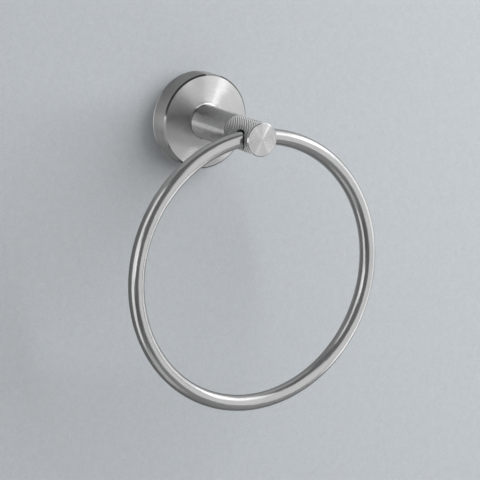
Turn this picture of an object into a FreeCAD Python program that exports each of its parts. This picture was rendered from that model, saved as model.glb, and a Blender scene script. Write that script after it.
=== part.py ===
import FreeCAD, Part

import math
import os

from FreeCAD import Vector

# Wall-mounted towel ring: a round rose, a post with a knurled head, and a ring hung through the head.
# Millimetres. The origin is on the wall, on the post's axis. The post points along -Y and +Z is up.

# Ring
ring_radius = 80.0          # centre of the ring to the centre of its bar
bar_diameter = 9.5

# Rose, a turned cup that covers the wall plate
rose_diameter = 57.2
rose_thickness = 13.0
rose_rim_wall = 3.4
rose_front_wall = 3.2
rose_chamfer = 1.0

# Post
post_diameter = 20.8
post_length = 37.0
post_edge_break = 0.25
spigot_diameter = 14.0      # locates the post in the rose's front wall
spigot_relief = 0.2         # the spigot stops this far short of the washer

# Knurled head, screwed to the end of the post
head_step = 0.3             # the head lies this far inside the post's surface
head_length = 27.0
head_chamfer = 0.5
head_land = 0.4             # plain band between the knurl and the chamfer
bore_to_end = 9.5           # axis of the cross bore to the end face
bore_clearance = 0.75       # between the ring's bar and the bore, on the radius

# Diamond knurl, two sets of crossing helical grooves
knurl_starts = 42           # grooves of each hand
knurl_pitch = 2.0           # length of one diamond along the head
knurl_depth = 0.35
knurl_inset = 0.05          # the crests lie this far inside the plain band

# Stud that joins the head to the post
stud_diameter = 8.0
stud_depth_in_post = 14.0
stud_wall = 2.0             # metal between the stud's hole and the cross bore
tapped_end_gap = 0.5        # room left at the bottom of each tapped hole

# Screw and washer that hold the post to the rose, from inside
screw_diameter = 6.0
screw_depth_in_post = 14.0
screw_head_diameter = 10.0
screw_head_height = 6.0
screw_socket_width = 5.0    # across the flats of the hexagon socket
screw_socket_depth = 3.0
washer_diameter = 18.0
washer_thickness = 1.6

# Wall plate, screwed to the wall through two slots
plate_thickness = 6.0
plate_edge_clearance = 0.4  # between the plate and the rose's rim, on the radius
plate_centre_room = 2.0     # between the plate and the head of the post's screw, on the radius
plate_groove_depth = 1.2    # right-angled groove round the edge, for the grub screw's point
slot_width = 4.8
slot_length = 9.0

# Grub screw under the rose, its point in the plate's groove
grub_diameter = 4.0
grub_setback = 0.3          # below the rose's outer surface
grub_socket_width = 2.0
grub_socket_depth = 1.8

thread_clearance = 0.1      # on the radius, between a threaded piece and its hole
seat_clearance = 0.1        # on the radius, between pieces that slip together
point_clearance = 0.05      # between the grub screw's point and the groove's bottom
cut_overrun = 1.0           # how far a cutting tool runs past a face

# Places worked out from the sizes above, as distances out from the wall
post_seat = rose_thickness
head_seat = post_seat + post_length
end_face = head_seat + head_length
bore_axis = end_face - bore_to_end
rose_radius = rose_diameter / 2
post_radius = post_diameter / 2
head_radius = post_radius - head_step
crest_radius = head_radius - knurl_inset
knurl_length = head_length - head_land - head_chamfer
knurl_rows = round(2 * knurl_length / knurl_pitch)
cavity_depth = rose_thickness - rose_front_wall
cavity_radius = rose_radius - rose_rim_wall
plate_radius = cavity_radius - plate_edge_clearance
groove_radius = plate_radius - plate_groove_depth
groove_axis = plate_thickness / 2
plate_hole_radius = screw_head_diameter / 2 + plate_centre_room
slot_offset = (plate_radius + plate_hole_radius) / 2
bar_radius = bar_diameter / 2
bore_radius = bar_radius + bore_clearance
stud_depth_in_head = head_length - bore_to_end - bore_radius - stud_wall - tapped_end_gap


def outwards(distance, x=0.0, z=0.0):
    # A point at this distance out from the wall
    return Vector(x, -distance, z)


def flat_face(corners):
    # Flat face with these corners
    return Part.Face(Part.makePolygon(corners + [corners[0]]))


def turned(profile):
    # Solid of revolution about the post's axis, from (radius, distance out from the wall) points
    corners = [outwards(distance, x=radius) for radius, distance in profile]
    return flat_face(corners).revolve(Vector(0, 0, 0), Vector(0, 1, 0), 360)


def cylinder_out(radius, start, length, x=0.0):
    # Cylinder that runs out from the wall
    return Part.makeCylinder(radius, length, outwards(start, x=x), Vector(0, -1, 0))


def hexagon_socket(width, depth, mouth, direction):
    # Hexagonal recess: its mouth's centre, the direction it is sunk in and the width across its flats
    corner_radius = width / math.sqrt(3)
    along = Vector(direction).normalize()
    side = Vector(1, 0, 0)
    up = along.cross(side)
    corners = []
    for corner in range(6):
        turn = math.radians(60 * corner)
        spoke = side * (corner_radius * math.cos(turn)) + up * (corner_radius * math.sin(turn))
        corners.append(mouth - along * cut_overrun + spoke)
    return flat_face(corners).extrude(along * (depth + cut_overrun))


def slot(centre_x):
    # One through slot of the wall plate, long in X
    half_run = (slot_length - slot_width) / 2
    start = -cut_overrun
    run = plate_thickness + 2 * cut_overrun
    left = cylinder_out(slot_width / 2, start, run, x=centre_x - half_run)
    right = cylinder_out(slot_width / 2, start, run, x=centre_x + half_run)
    corner = Vector(centre_x - half_run, -(start + run), -slot_width / 2)
    middle = Part.makeBox(2 * half_run, run, slot_width, corner)
    return left.fuse([middle, right]).removeSplitter()


def ring():
    # Closed round bar, hanging through the cross bore with its plane parallel to the wall
    centre = outwards(bore_axis, z=-ring_radius)
    return Part.makeTorus(ring_radius, bar_radius, centre, Vector(0, 1, 0))


def rose_cover():
    # Turned cup: open at the wall, chamfered at the front, with a hole for the post's spigot
    spigot_hole = spigot_diameter / 2 + seat_clearance
    cup = turned([
        (cavity_radius, 0),
        (rose_radius, 0),
        (rose_radius, rose_thickness - rose_chamfer),
        (rose_radius - rose_chamfer, rose_thickness),
        (spigot_hole, rose_thickness),
        (spigot_hole, cavity_depth),
        (cavity_radius, cavity_depth),
    ])
    grub_hole = Part.makeCylinder(
        grub_diameter / 2 + thread_clearance,
        rose_radius + cut_overrun,
        outwards(groove_axis),
        Vector(0, 0, -1),
    )
    return cup.cut(grub_hole)


def post():
    # Smooth round post with a spigot at the rose and a tapped hole in each end
    spigot_end = cavity_depth + spigot_relief
    body = turned([
        (0, spigot_end),
        (spigot_diameter / 2, spigot_end),
        (spigot_diameter / 2, post_seat),
        (post_radius, post_seat),
        (post_radius, head_seat - post_edge_break),
        (post_radius - post_edge_break, head_seat),
        (0, head_seat),
    ])
    screw_hole = cylinder_out(
        screw_diameter / 2 + thread_clearance,
        spigot_end - cut_overrun,
        screw_depth_in_post + tapped_end_gap + cut_overrun,
    )
    stud_run = stud_depth_in_post + tapped_end_gap
    stud_hole = cylinder_out(
        stud_diameter / 2 + thread_clearance,
        head_seat - stud_run,
        stud_run + cut_overrun,
    )
    return body.cut([screw_hole, stud_hole])


def cross_bore():
    # Cutting tool for the bore that the ring's bar passes through
    half_run = head_radius + cut_overrun
    return Part.makeCylinder(
        bore_radius,
        2 * half_run,
        outwards(bore_axis, x=-half_run),
        Vector(1, 0, 0),
    )


def knurl_point(column, row):
    # Crests and groove crossings alternate round the head, and from one row to the next
    is_crest = (column + row) % 2 == 0
    radius = crest_radius if is_crest else crest_radius - knurl_depth
    turn = math.pi * column / knurl_starts
    distance = head_seat + knurl_length * row / knurl_rows
    return outwards(distance, x=radius * math.cos(turn), z=radius * math.sin(turn))


def knurled_barrel():
    # Barrel skinned with pyramids: each crest joins the groove crossings beside, before and after it
    faces = []
    for row in range(knurl_rows + 1):
        for column in range(row % 2, 2 * knurl_starts, 2):
            crest = knurl_point(column, row)
            left = knurl_point(column - 1, row)
            right = knurl_point(column + 1, row)
            for next_row in (row - 1, row + 1):
                if 0 <= next_row <= knurl_rows:
                    crossing = knurl_point(column, next_row)
                    faces.append(flat_face([crest, left, crossing]))
                    faces.append(flat_face([crest, crossing, right]))
    for end_row in (0, knurl_rows):
        faces.append(flat_face([knurl_point(column, end_row) for column in range(2 * knurl_starts)]))
    skin = Part.makeShell(faces)
    skin.sewShape()
    return Part.makeSolid(skin)


def knurled_head():
    # Knurled barrel with a plain chamfered end, a cross bore and a tapped hole at the post's side
    plain_end = turned([
        (0, head_seat + knurl_length),
        (head_radius, head_seat + knurl_length),
        (head_radius, end_face - head_chamfer),
        (head_radius - head_chamfer, end_face),
        (0, end_face),
    ])
    body = knurled_barrel().fuse(plain_end)
    stud_hole = cylinder_out(
        stud_diameter / 2 + thread_clearance,
        head_seat - cut_overrun,
        stud_depth_in_head + tapped_end_gap + cut_overrun,
    )
    return body.cut([cross_bore(), stud_hole])


def head_stud():
    # Threaded stud, half in the post and half in the head
    return cylinder_out(
        stud_diameter / 2,
        head_seat - stud_depth_in_post,
        stud_depth_in_post + stud_depth_in_head,
    )


def post_screw():
    # Socket-head screw from inside the rose into the post
    under_head = cavity_depth - washer_thickness
    head_top = under_head - screw_head_height
    tip = cavity_depth + spigot_relief + screw_depth_in_post
    body = turned([
        (0, head_top),
        (screw_head_diameter / 2, head_top),
        (screw_head_diameter / 2, under_head),
        (screw_diameter / 2, under_head),
        (screw_diameter / 2, tip),
        (0, tip),
    ])
    socket = hexagon_socket(
        screw_socket_width, screw_socket_depth, outwards(head_top), Vector(0, -1, 0)
    )
    return body.cut(socket)


def washer():
    # Flat washer between the screw's head and the rose's front wall
    inner = screw_diameter / 2 + seat_clearance
    outer = washer_diameter / 2
    start = cavity_depth - washer_thickness
    return turned([
        (inner, start),
        (outer, start),
        (outer, cavity_depth),
        (inner, cavity_depth),
    ])


def wall_plate():
    # Round plate with a right-angled groove round its edge and two slots for the wall screws
    disc = turned([
        (plate_hole_radius, 0),
        (plate_radius, 0),
        (plate_radius, groove_axis - plate_groove_depth),
        (groove_radius, groove_axis),
        (plate_radius, groove_axis + plate_groove_depth),
        (plate_radius, plate_thickness),
        (plate_hole_radius, plate_thickness),
    ])
    return disc.cut([slot(-slot_offset), slot(slot_offset)])


def grub_screw():
    # Short socket set screw with a right-angled point, upright in the rose's rim
    radius = grub_diameter / 2
    point = -(groove_radius + point_clearance)
    outer_end = -(rose_radius - grub_setback)
    profile = [
        Vector(0, 0, point),
        Vector(radius, 0, point - radius),
        Vector(radius, 0, outer_end),
        Vector(0, 0, outer_end),
    ]
    body = flat_face(profile).revolve(Vector(0, 0, 0), Vector(0, 0, 1), 360)
    socket = hexagon_socket(
        grub_socket_width, grub_socket_depth, Vector(0, 0, outer_end), Vector(0, 0, 1)
    )
    body = body.cut(socket)
    body.translate(outwards(groove_axis))
    return body


makers = [
    ring,
    knurled_head,
    head_stud,
    post,
    rose_cover,
    post_screw,
    washer,
    wall_plate,
    grub_screw,
]

for maker in makers:
    shape = maker()
    assert shape.isValid() and len(shape.Solids) == 1, maker.__name__
    shape.exportStep("parts/" + maker.__name__ + ".step")
    print(maker.__name__, round(shape.Volume, 1), "cubic mm")
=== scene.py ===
import math

import bpy
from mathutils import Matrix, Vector


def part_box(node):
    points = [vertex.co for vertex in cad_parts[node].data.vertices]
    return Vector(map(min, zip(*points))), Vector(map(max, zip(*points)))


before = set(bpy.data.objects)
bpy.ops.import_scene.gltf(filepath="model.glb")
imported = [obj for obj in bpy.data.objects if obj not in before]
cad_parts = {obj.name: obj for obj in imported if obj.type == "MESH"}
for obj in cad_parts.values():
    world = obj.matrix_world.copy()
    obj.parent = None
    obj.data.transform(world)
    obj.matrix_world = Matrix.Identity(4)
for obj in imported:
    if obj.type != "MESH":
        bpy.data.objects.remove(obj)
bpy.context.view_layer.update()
scene = bpy.context.scene
scene.view_settings.view_transform = "Standard"

millimetre = 0.001
ringCentre = Vector((0.0, -0.0675, -0.080))     # straight below the bore in the head


# a socket that can be used in sums: each sum adds its Math node
class Value:
    def __init__(self, nodes, socket):
        self.nodes = nodes
        self.socket = socket

    def __add__(self, other):
        return self.nodes.maths("ADD", self, other)

    def __radd__(self, other):
        return self.nodes.maths("ADD", other, self)

    def __sub__(self, other):
        return self.nodes.maths("SUBTRACT", self, other)

    def __rsub__(self, other):
        return self.nodes.maths("SUBTRACT", other, self)

    def __mul__(self, other):
        return self.nodes.maths("MULTIPLY", self, other)

    def __rmul__(self, other):
        return self.nodes.maths("MULTIPLY", other, self)

    def __truediv__(self, other):
        return self.nodes.maths("DIVIDE", self, other)

    def __rtruediv__(self, other):
        return self.nodes.maths("DIVIDE", other, self)

    def __neg__(self):
        return self.nodes.maths("MULTIPLY", self, -1.0)


# the node tree of one material or of the world
class Nodes:
    def __init__(self, owner):
        owner.use_nodes = True
        self.tree = owner.node_tree
        self.tree.nodes.clear()

    def add(self, kind, settings=None, inputs=None, output=0):
        node = self.tree.nodes.new(kind)
        for setting, value in (settings or {}).items():
            setattr(node, setting, value)
        for name, value in (inputs or {}).items():
            self.feed(node.inputs[name], value)
        return Value(self, node.outputs[output]) if len(node.outputs) else None

    def feed(self, socket, value):
        if isinstance(value, Value):
            self.tree.links.new(value.socket, socket)
        else:
            socket.default_value = value

    def maths(self, operation, first, second=0.0):
        return self.add("ShaderNodeMath", {"operation": operation}, {0: first, 1: second})

    # masks: 1 where the value is above or below the limit, 0 elsewhere
    def above(self, value, limit):
        return self.maths("GREATER_THAN", value, limit)

    def below(self, value, limit):
        return self.maths("LESS_THAN", value, limit)

    def vectorMaths(self, operation, first, second=(0.0, 0.0, 0.0), output=0):
        return self.add("ShaderNodeVectorMath", {"operation": operation},
                        {0: first, 1: second}, output)

    def scaled(self, vector, factor):
        return self.add("ShaderNodeVectorMath", {"operation": "SCALE"}, {0: vector, "Scale": factor})

    def joined(self, x, y, z):
        return self.add("ShaderNodeCombineXYZ", None, {"X": x, "Y": y, "Z": z})

    def parts(self, vector):
        split = self.add("ShaderNodeSeparateXYZ", None, {"Vector": vector})
        return [Value(self, socket) for socket in split.socket.node.outputs]

    # how far a place is from the Y axis, and the direction to it from there
    def roundAxis(self, place):
        x, y, z = self.parts(place)
        radius = self.maths("SQRT", x * x + z * z)
        return radius, x / radius, z / radius

    def position(self):
        return self.add("ShaderNodeTexCoord", output="Object")

    def normal(self):
        return self.add("ShaderNodeTexCoord", output="Normal")

    # the flat facet's own direction, with no rounding between facets
    def facetNormal(self):
        facet = self.add("ShaderNodeNewGeometry", output="True Normal")
        return self.add("ShaderNodeVectorTransform",
                        {"vector_type": "NORMAL", "convert_from": "WORLD", "convert_to": "OBJECT"},
                        {"Vector": facet})

    # from 0 at low to 1 at high, smoothly
    def fade(self, value, low, high):
        return self.add("ShaderNodeMapRange", {"interpolation_type": "SMOOTHSTEP"},
                        {"Value": value, "From Min": low, "From Max": high})

    # noise round zero
    def noise(self, vector, scale=1.0, detail=2.0, roughness=0.5, settings=None, extra=None):
        inputs = {"Vector": vector, "Scale": scale, "Detail": detail, "Roughness": roughness}
        inputs.update(extra or {})
        return self.add("ShaderNodeTexNoise", settings, inputs, "Fac") - 0.5

    # a Mix node keeps its colours in sockets 6 and 7, and gives the mixed one as output 2
    def mixedColour(self, factor, first, second):
        return self.add("ShaderNodeMix", {"data_type": "RGBA"}, {0: factor, 6: first, 7: second}, 2)

    # the object's own direction, turned with the piece into the scene's
    def worldNormal(self, direction):
        turned = self.add("ShaderNodeVectorTransform",
                          {"vector_type": "NORMAL", "convert_from": "OBJECT", "convert_to": "WORLD"},
                          {"Vector": direction})
        return self.vectorMaths("NORMALIZE", turned)

    def finish(self, shader):
        self.add("ShaderNodeOutputMaterial", None, {"Surface": shader})


def newMaterial(name):
    material = bpy.data.materials.new(name)
    return material, Nodes(material)


def grey(level):
    return (level, level, level, 1.0)


def dress(nodeName, material):
    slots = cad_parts[nodeName].data.materials
    slots.clear()
    slots.append(material)
    print("dressed", nodeName, "in", material.name)


steelEdge = 0.85       # how much light the steel keeps where it turns away from the eye
driftDetail = 3.0      # how finely tone and gloss drift over a piece
driftReach = 0.2       # the drift that makes the tone as dark or as pale as it gets
lineDetail = 1.0       # how finely the lathe lines vary along themselves
faceFrom = 0.93        # a surface that faces forwards more than this is a face


# a grey steel tone that drifts a little over the piece
def steelTone(nodes, look, drift):
    darker = grey(look["tone"] * (1 - look["toneDrift"]))
    paler = grey(look["tone"] * (1 + look["toneDrift"]))
    return nodes.mixedColour(nodes.fade(drift, -driftReach, driftReach), darker, paler)


def steelShader(nodes, tone, roughness, normal, metal=1.0):
    return nodes.add("ShaderNodeBsdfPrincipled", None,
                     {"Base Color": tone, "Metallic": metal, "Roughness": roughness, "Normal": normal,
                      "Specular Tint": grey(steelEdge)})


# Lathe grooves run round the Y axis, and their flanks lean the surface along its profile.
# Each flank is a share of the surface and a lean, forwards on a cylinder and inwards on a face.
def turnedShader(nodes, look, position, normal, tone, roughness, leans, lineLean, metal=1.0):
    radius, towardsX, towardsZ = nodes.roundAxis(position)
    alongY = nodes.parts(position)[1]
    turn = nodes.joined((radius - alongY) * look["linesPerMetre"], towardsX * look["lineDrift"],
                        towardsZ * look["lineDrift"])
    lines = nodes.noise(turn, detail=lineDetail) * lineLean
    streaks = nodes.noise(nodes.scaled(turn, look["streakWidth"])) * look["streakTone"]
    streakedTone = nodes.scaled(tone, streaks + 1)
    alongProfile = nodes.vectorMaths("CROSS_PRODUCT", nodes.joined(towardsZ, 0.0, -towardsX), normal)
    shader, counted = None, 0.0
    for share, lean in zip(look["shares"], leans):
        tilt = nodes.scaled(alongProfile, lines + lean)
        flank = steelShader(nodes, streakedTone, roughness,
                            nodes.worldNormal(nodes.vectorMaths("ADD", normal, tilt)), metal)
        counted += share
        shader = flank if shader is None else nodes.add(
            "ShaderNodeMixShader", None, {0: share / counted, 1: shader, 2: flank})
    return shader


print("stage 1: the rose")

roseLook = {
    "tone": 0.50, "toneDrift": 0.03, "driftScale": 60.0, "glossDrift": 0.06,
    "faceRoughness": 0.19, "rimRoughness": 0.20, "chamferRoughness": 0.08, "chamferShadeTone": 0.21,
    "lipRadius": 11.05 * millimetre, "lipLean": 0.6, "lipHighlightTone": 0.6,
    "shares": (0.29, 0.24, 0.17, 0.16, 0.14),
    "faceLeans": (0.0, -0.58, -0.42, 0.50, -0.22),
    "rimLeans": (0.0, 0.06, 0.95, -0.12, 1.0), "rimShadeTone": 0.44, "rimUpTo": 0.2,
    "lineLean": 0.45, "linesPerMetre": 9000.0, "lineDrift": 0.8,
    "streakWidth": 0.16, "streakTone": 0.26,
}


def roseSteel(look):
    material, nodes = newMaterial("rose_turned_steel")
    position, normal = nodes.position(), nodes.normal()
    forwards = -nodes.parts(normal)[1]
    front = nodes.above(forwards, faceFrom)
    rim = nodes.below(forwards, look["rimUpTo"])
    chamfer = 1 - front - rim
    # the chamfer and the rounded lip round the post are polished, so they carry no groove flanks
    radius, outX, outZ = nodes.roundAxis(position)
    lip = front * nodes.below(radius, look["lipRadius"])
    face = front - lip
    outwards = nodes.joined(outX, 0.0, outZ)
    normal = nodes.vectorMaths("NORMALIZE", nodes.vectorMaths(
        "ADD", normal, nodes.scaled(outwards, lip * look["lipLean"])))
    drift = nodes.noise(position, look["driftScale"], driftDetail)
    roughness = (face * look["faceRoughness"] + rim * look["rimRoughness"]
                 + (chamfer + lip) * look["chamferRoughness"] + drift * look["glossDrift"])
    leans = [face * onFace + rim * onRim for onFace, onRim in zip(look["faceLeans"], look["rimLeans"])]
    # the rim and the chamfer are painted darker than the face: painted shade
    tone = nodes.mixedColour(rim, steelTone(nodes, look, drift), grey(look["rimShadeTone"]))
    tone = nodes.mixedColour(chamfer, tone, grey(look["chamferShadeTone"]))
    # the lip is painted paler than the face: a painted highlight along its rounded line
    tone = nodes.mixedColour(lip, tone, grey(look["lipHighlightTone"]))
    nodes.finish(turnedShader(nodes, look, position, normal, tone, roughness,
                              leans, (face + rim) * look["lineLean"]))
    return material


dress("rose_cover", roseSteel(roseLook))

print("stage 2: the post")

postLook = {
    "tone": 0.54, "toneDrift": 0.03, "driftScale": 80.0, "glossDrift": 0.06, "roughness": 0.20,
    "shares": (0.36, 0.18, 0.18, 0.14, 0.14), "leans": (0.0, 0.14, 0.95, -0.25, 1.1),
    "lineLean": 0.45, "linesPerMetre": 9000.0, "lineDrift": 0.8,
    "streakWidth": 0.16, "streakTone": 0.26,
    # the seam values paint a dark band on the post next to the rose: painted shade
    "seamShadeTone": 0.03, "seamAt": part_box("rose_cover")[0][1], "seamShadeWidth": 1.8 * millimetre,
}


# the post is painted nearly black over a band next to the rose: a painted shade where the post meets
# the rose
def postSteel(look):
    material, nodes = newMaterial("post_turned_steel")
    position, normal = nodes.position(), nodes.normal()
    drift = nodes.noise(position, look["driftScale"], driftDetail)
    roughness = look["roughness"] + drift * look["glossDrift"]
    # painted shade: the tone fades to nearly black towards the rose
    seam = nodes.fade(nodes.parts(position)[1], look["seamAt"] - look["seamShadeWidth"], look["seamAt"])
    tone = nodes.mixedColour(seam, steelTone(nodes, look, drift), grey(look["seamShadeTone"]))
    nodes.finish(turnedShader(nodes, look, position, normal, tone, roughness,
                              look["leans"], look["lineLean"]))
    return material


dress("post", postSteel(postLook))

print("stage 3: the knurled head")

headLook = {
    "tone": 0.56, "toneDrift": 0.03, "driftScale": 120.0, "glossDrift": 0.06,
    "faceRoughness": 0.11, "knurlRoughness": 0.24, "chamferRoughness": 0.2,
    "shares": (0.50, 0.14, 0.16, 0.06, 0.14), "faceLeans": (0.0, -0.58, -0.28, 0.58, 0.28),
    "lineLean": 0.35, "linesPerMetre": 9000.0, "lineDrift": 0.8,
    "streakWidth": 0.16, "streakTone": 0.15,
    "knurlUpTo": 0.5, "knurlMetal": 0.60, "diamondLean": 1.2,
    # the valley and crest tones are painted shade and painted highlight on the knurl
    "valleyRadius": 9.72 * millimetre, "valleyShadeTone": 0.02,
    "crestRadius": 9.88 * millimetre, "crestHighlightTone": 1.0,
}


# the knurl's valleys are painted nearly black, a painted shade in the hollows, and its crests are
# painted bright, a painted highlight
def headSteel(look):
    material, nodes = newMaterial("head_knurled_steel")
    position, facet = nodes.position(), nodes.facetNormal()
    radius, outX, outZ = nodes.roundAxis(position)
    forwards = -nodes.parts(facet)[1]
    face = nodes.above(forwards, faceFrom)
    knurl = nodes.below(nodes.maths("ABSOLUTE", forwards), look["knurlUpTo"])
    chamfer = 1 - face - knurl
    # the diamonds' own lean is made a little steeper, as their sharp edges make it look
    fromRound = nodes.vectorMaths("SUBTRACT", facet, nodes.joined(outX, 0.0, outZ))
    leaning = nodes.vectorMaths("ADD", facet, nodes.scaled(fromRound, knurl * look["diamondLean"]))
    normal = nodes.vectorMaths("NORMALIZE", leaning)
    drift = nodes.noise(position, look["driftScale"], driftDetail)
    # painted shade in the valleys, fading to a painted highlight on the crests
    crest = nodes.fade(radius, look["valleyRadius"], look["crestRadius"])
    knurlShadeAndHighlight = nodes.mixedColour(crest, grey(look["valleyShadeTone"]), grey(look["crestHighlightTone"]))
    tone = nodes.mixedColour(knurl, steelTone(nodes, look, drift), knurlShadeAndHighlight)
    roughness = (face * look["faceRoughness"] + knurl * look["knurlRoughness"]
                 + chamfer * look["chamferRoughness"] + drift * look["glossDrift"])
    metal = 1 - knurl * (1 - look["knurlMetal"])
    leans = [face * lean for lean in look["faceLeans"]]
    nodes.finish(turnedShader(nodes, look, position, normal, tone, roughness,
                              leans, face * look["lineLean"], metal))
    return material


dress("knurled_head", headSteel(headLook))

print("stage 4: the ring")

ringLook = {
    "tone": 0.50, "toneDrift": 0.03, "driftScale": 40.0, "glossDrift": 0.05, "roughness": 0.20,
    "lean": 0.25, "grainLines": 26.0, "grainLength": 9.0,
}


# the grain is drawn along the bar, so it leans the surface to either side of the bar's line
def ringSteel(look):
    material, nodes = newMaterial("ring_drawn_steel")
    position, normal = nodes.position(), nodes.normal()
    fromCentre = nodes.vectorMaths("SUBTRACT", position, tuple(ringCentre))
    alongX, alongZ = nodes.roundAxis(fromCentre)[1:]
    barX, barY, barZ = nodes.parts(normal)
    outwards = barX * alongX + barZ * alongZ
    grain = nodes.joined(outwards * look["grainLines"], barY * look["grainLines"],
                         alongX * look["grainLength"])
    lines = nodes.noise(grain, settings={"noise_dimensions": "4D"},
                        extra={"W": alongZ * look["grainLength"]})
    alongBar = nodes.joined(alongZ, 0.0, -alongX)
    acrossBar = nodes.vectorMaths("CROSS_PRODUCT", alongBar, normal)
    leaning = nodes.vectorMaths("ADD", normal, nodes.scaled(acrossBar, lines * look["lean"]))
    drift = nodes.noise(position, look["driftScale"], driftDetail)
    roughness = look["roughness"] + drift * look["glossDrift"]
    tone = steelTone(nodes, look, drift)
    nodes.finish(steelShader(nodes, tone, roughness, nodes.worldNormal(leaning)))
    return material


dress("ring", ringSteel(ringLook))

print("stage 5: the plate, the washer and the screws")

platedLook = {
    "tone": 0.52, "toneDrift": 0.10, "driftScale": 400.0, "glossDrift": 0.25, "roughness": 0.36,
    "crystalScale": 900.0, "crystalLean": 0.12,
}
screwLook = {
    "tone": 0.42, "toneDrift": 0.06, "driftScale": 500.0, "glossDrift": 0.15, "roughness": 0.30,
    "crystalScale": 1500.0, "crystalLean": 0.10,
}


# plated and heat-treated parts have a fine crystal grain in place of cutting lines
def grainySteel(name, look):
    material, nodes = newMaterial(name)
    position, normal = nodes.position(), nodes.normal()
    crystals = nodes.add("ShaderNodeTexVoronoi", None,
                         {"Vector": position, "Scale": look["crystalScale"]}, "Color")
    centred = nodes.vectorMaths("SUBTRACT", crystals, (0.5, 0.5, 0.5))
    leaning = nodes.vectorMaths("ADD", normal, nodes.scaled(centred, look["crystalLean"]))
    drift = nodes.noise(position, look["driftScale"], driftDetail)
    roughness = look["roughness"] + drift * look["glossDrift"]
    tone = steelTone(nodes, look, drift)
    nodes.finish(steelShader(nodes, tone, roughness, nodes.worldNormal(leaning)))
    return material


platedSteel = grainySteel("zinc_plated_steel", platedLook)
screwSteel = grainySteel("hardened_screw_steel", screwLook)
for nodeName in ("wall_plate", "washer"):
    dress(nodeName, platedSteel)
for nodeName in ("head_stud", "post_screw", "grub_screw"):
    dress(nodeName, screwSteel)

print("stage 6: the wall and the floor")

wallLook = {
    "colour": (0.524, 0.552, 0.579, 1.0), "shade": (0.433, 0.461, 0.487, 1.0), "roughness": 0.8,
    "mirroredColour": (0.445, 0.45, 0.455, 1.0), "mirroredShade": 0.52, "seenGlow": 0.0,
    "width": 3.0, "height": 3.0, "gap": 0.3 * millimetre,
    "grainScale": 1300.0, "grainDepth": 0.03 * millimetre, "mottleScale": 220.0, "mottleShare": 0.35,
}
floorLook = {
    "colour": (0.60, 0.60, 0.60, 1.0), "shade": (0.56, 0.56, 0.56, 1.0), "roughness": 0.7,
    "mirroredColour": (0.58, 0.58, 0.58, 1.0), "mirroredShade": 0.5, "seenGlow": 0.42,
    "size": 5.0, "height": -1.1,
    "grainScale": 300.0, "grainDepth": 0.1 * millimetre, "mottleScale": 40.0, "mottleShare": 1.0,
}
paintLook = {
    "grainDetail": 3.0, "grainRoughness": 0.6, "toneReach": 0.4, "clearWithin": 1.0 * millimetre,
}
# where metal mirrors the sheets, they are painted a plain grey and darker towards their lower left: a
# painted reflection with painted shade
mirrorLook = {"darkSide": (-0.6, 0.0, -0.8), "darkFrom": -0.06, "darkTo": 0.04}


# a flat sheet that belongs to the studio and not to the object
def stageSheet(name, corners, material):
    mesh = bpy.data.meshes.new(name)
    mesh.from_pydata(corners, [], [tuple(range(len(corners)))])
    mesh.materials.append(material)
    sheet = bpy.data.objects.new(name, mesh)
    scene.collection.objects.link(sheet)


def paintedSheet(name, look):
    material, nodes = newMaterial(name)
    position = nodes.position()
    grain = nodes.noise(position, look["grainScale"],
                        paintLook["grainDetail"], paintLook["grainRoughness"])
    uneven = grain + nodes.noise(position, look["mottleScale"]) * look["mottleShare"]
    mirrored = nodes.add("ShaderNodeLightPath", output="Is Glossy Ray")
    seen = nodes.add("ShaderNodeLightPath", output="Is Camera Ray")
    tone = nodes.mixedColour(nodes.fade(uneven, -paintLook["toneReach"], paintLook["toneReach"]),
                             look["shade"], look["colour"])
    fromRing = nodes.vectorMaths("SUBTRACT", position, tuple(ringCentre))
    darkSide = nodes.vectorMaths("DOT_PRODUCT", fromRing, mirrorLook["darkSide"], "Value")
    darkness = mirrored * nodes.fade(darkSide, mirrorLook["darkFrom"], mirrorLook["darkTo"])
    # painted reflection and painted shade: glossy rays see a plain grey, darker towards the lower left
    tone = nodes.mixedColour(mirrored, tone, look["mirroredColour"])
    tone = nodes.mixedColour(darkness * look["mirroredShade"], tone, grey(0.0))
    rise = nodes.add("ShaderNodeBump", None,
                     {"Strength": 1.0, "Distance": look["grainDepth"], "Height": uneven})
    glow = nodes.mixedColour(seen, grey(0.0), grey(look["seenGlow"]))
    paint = nodes.add("ShaderNodeBsdfPrincipled", None,
                      {"Base Color": tone, "Roughness": look["roughness"], "Normal": rise,
                       "Emission Color": glow, "Emission Strength": 1.0})
    # the sheet is clear from behind, so that the piece can be looked at from there,
    # and clear to light that starts right at its face
    clear = nodes.add("ShaderNodeBsdfTransparent")
    behind = nodes.add("ShaderNodeNewGeometry", output="Backfacing")
    rayLength = nodes.add("ShaderNodeLightPath", output="Ray Length")
    seeThrough = nodes.maths("MAXIMUM", behind, nodes.below(rayLength, paintLook["clearWithin"]))
    nodes.finish(nodes.add("ShaderNodeMixShader", None, {0: seeThrough, 1: paint, 2: clear}))
    return material


# the corners of a rectangle, in order round it
def rectangle(left, right, low, high):
    return [(left, low), (right, low), (right, high), (left, high)]


ground = floorLook["height"]
halfWall, wallTop = wallLook["width"] / 2, wallLook["height"] / 2
wallCorners = [(x, wallLook["gap"], z) for x, z in rectangle(-halfWall, halfWall, ground, wallTop)]
stageSheet("wall", wallCorners, paintedSheet("wall_paint", wallLook))
halfFloor = floorLook["size"] / 2
floorCorners = [(x, y, ground) for x, y in rectangle(-halfFloor, halfFloor, -halfFloor, halfFloor)]
stageSheet("floor", floorCorners, paintedSheet("floor_paint", floorLook))

print("stage 7: the light")

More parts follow.
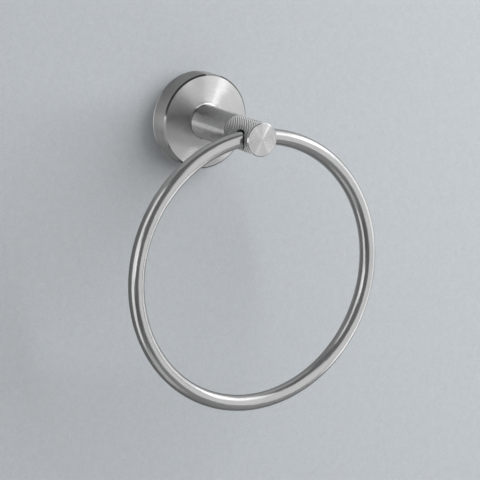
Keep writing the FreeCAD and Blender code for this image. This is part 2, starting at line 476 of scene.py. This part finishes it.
# azimuth and elevation say where a panel stands, seen from the ring, and the spans what angles
# it fills there
panels = {
    "left_panel": {"azimuth": -85, "elevation": 2, "distance": 0.62, "spanAcross": 44, "spanUp": 100,
                   "glow": 1.12, "lightsPaint": False},
    "left_strip": {"azimuth": -58, "elevation": 3, "distance": 0.60, "spanAcross": 13, "spanUp": 20,
                   "glow": 1.7, "lightsPaint": False},
    "low_left_panel": {"azimuth": -65, "elevation": -62, "distance": 0.80, "spanAcross": 50,
                       "spanUp": 30, "glow": 0.42, "lightsPaint": False},
    "front_panel": {"azimuth": 28, "elevation": 12, "distance": 1.9, "spanAcross": 60, "spanUp": 84,
                    "glow": 0.82, "lightsPaint": False},
    "right_panel": {"azimuth": 80, "elevation": 0, "distance": 0.70, "spanAcross": 36, "spanUp": 78,
                    "glow": 1.2, "lightsPaint": False},
    "right_strip": {"azimuth": 96, "elevation": 14, "distance": 0.35, "spanAcross": 14, "spanUp": 46,
                    "glow": 0.7, "lightsPaint": False},
    "key_panel": {"azimuth": 70, "elevation": 40, "distance": 1.1, "spanAcross": 40, "spanUp": 40,
                  "glow": 1.2, "lightsPaint": False},
    "key_strip": {"azimuth": 66, "elevation": 27, "distance": 1.1, "spanAcross": 7, "spanUp": 12,
                  "glow": 3.0, "lightsPaint": False},
    "wall_key": {"azimuth": 62, "elevation": 22, "distance": 2.0, "spanAcross": 64, "spanUp": 60,
                 "glow": 3.9, "seenInMetal": False},
    "wall_fill": {"azimuth": 5, "elevation": 35, "distance": 1.8, "spanAcross": 60, "spanUp": 60,
                  "glow": 0.85, "seenInMetal": False},
    "back_left_panel": {"azimuth": 138, "elevation": -4, "distance": 1.6, "spanAcross": 60,
                        "spanUp": 60, "glow": 1.2},
    "back_right_panel": {"azimuth": 218, "elevation": 0, "distance": 1.6, "spanAcross": 60,
                         "spanUp": 60, "glow": 1.0},
}
airLook = {"ambient": 0.13, "mirrored": 0.20, "background": (0.80, 0.83, 0.85, 1.0)}


# puts a lamp or the camera round a target and turns it there: azimuth 0 is straight out
# from the wall
def aim(thing, look, target):
    around, up = math.radians(look["azimuth"]), math.radians(look["elevation"])
    direction = Vector((math.sin(around) * math.cos(up), -math.cos(around) * math.cos(up),
                        math.sin(up)))
    thing.location = target + direction * look["distance"]
    thing.rotation_mode = "QUATERNION"
    thing.rotation_quaternion = (target - thing.location).to_track_quat("-Z", "Y")


# the width that fills an angle at a distance
def widthAt(distance, span):
    return 2 * distance * math.tan(math.radians(span / 2))


def addPanel(name, look):
    lamp = bpy.data.lights.new(name, "AREA")
    lamp.shape = "RECTANGLE"
    lamp.size = widthAt(look["distance"], look["spanAcross"])
    lamp.size_y = widthAt(look["distance"], look["spanUp"])
    lamp.energy = look["glow"] * math.pi * lamp.size * lamp.size_y
    panel = bpy.data.objects.new(name, lamp)
    scene.collection.objects.link(panel)
    aim(panel, look, ringCentre)
    panel.visible_glossy = look.get("seenInMetal", True)
    panel.visible_diffuse = look.get("lightsPaint", True)
    panel.visible_camera = False


for name, look in panels.items():
    addPanel(name, look)

air = bpy.data.worlds.new("studio_air")
scene.world = air
airNodes = Nodes(air)
seen = airNodes.add("ShaderNodeLightPath", output="Is Camera Ray")
mirrored = airNodes.add("ShaderNodeLightPath", output="Is Glossy Ray")
dimness = mirrored * (airLook["mirrored"] - airLook["ambient"]) + airLook["ambient"]
dim = airNodes.add("ShaderNodeBackground", None, {"Color": grey(1.0), "Strength": dimness})
pale = airNodes.add("ShaderNodeBackground", None, {"Color": airLook["background"], "Strength": 1.0})
airNodes.add("ShaderNodeOutputWorld", None,
             {"Surface": airNodes.add("ShaderNodeMixShader", None, {0: seen, 1: dim, 2: pale})})

print("stage 8: the camera")

cameraLook = {
    "azimuth": -31.6, "elevation": 13.1, "distance": 2.4, "lens": 302.8, "sensor": 36.0,
    "target": Vector((7.4, -40.0, -68.0)) * millimetre,
}
camera = bpy.data.objects.new("camera", bpy.data.cameras.new("camera"))
scene.collection.objects.link(camera)
camera.data.lens = cameraLook["lens"]
camera.data.sensor_width = cameraLook["sensor"]
aim(camera, cameraLook, cameraLook["target"])
scene.camera = camera
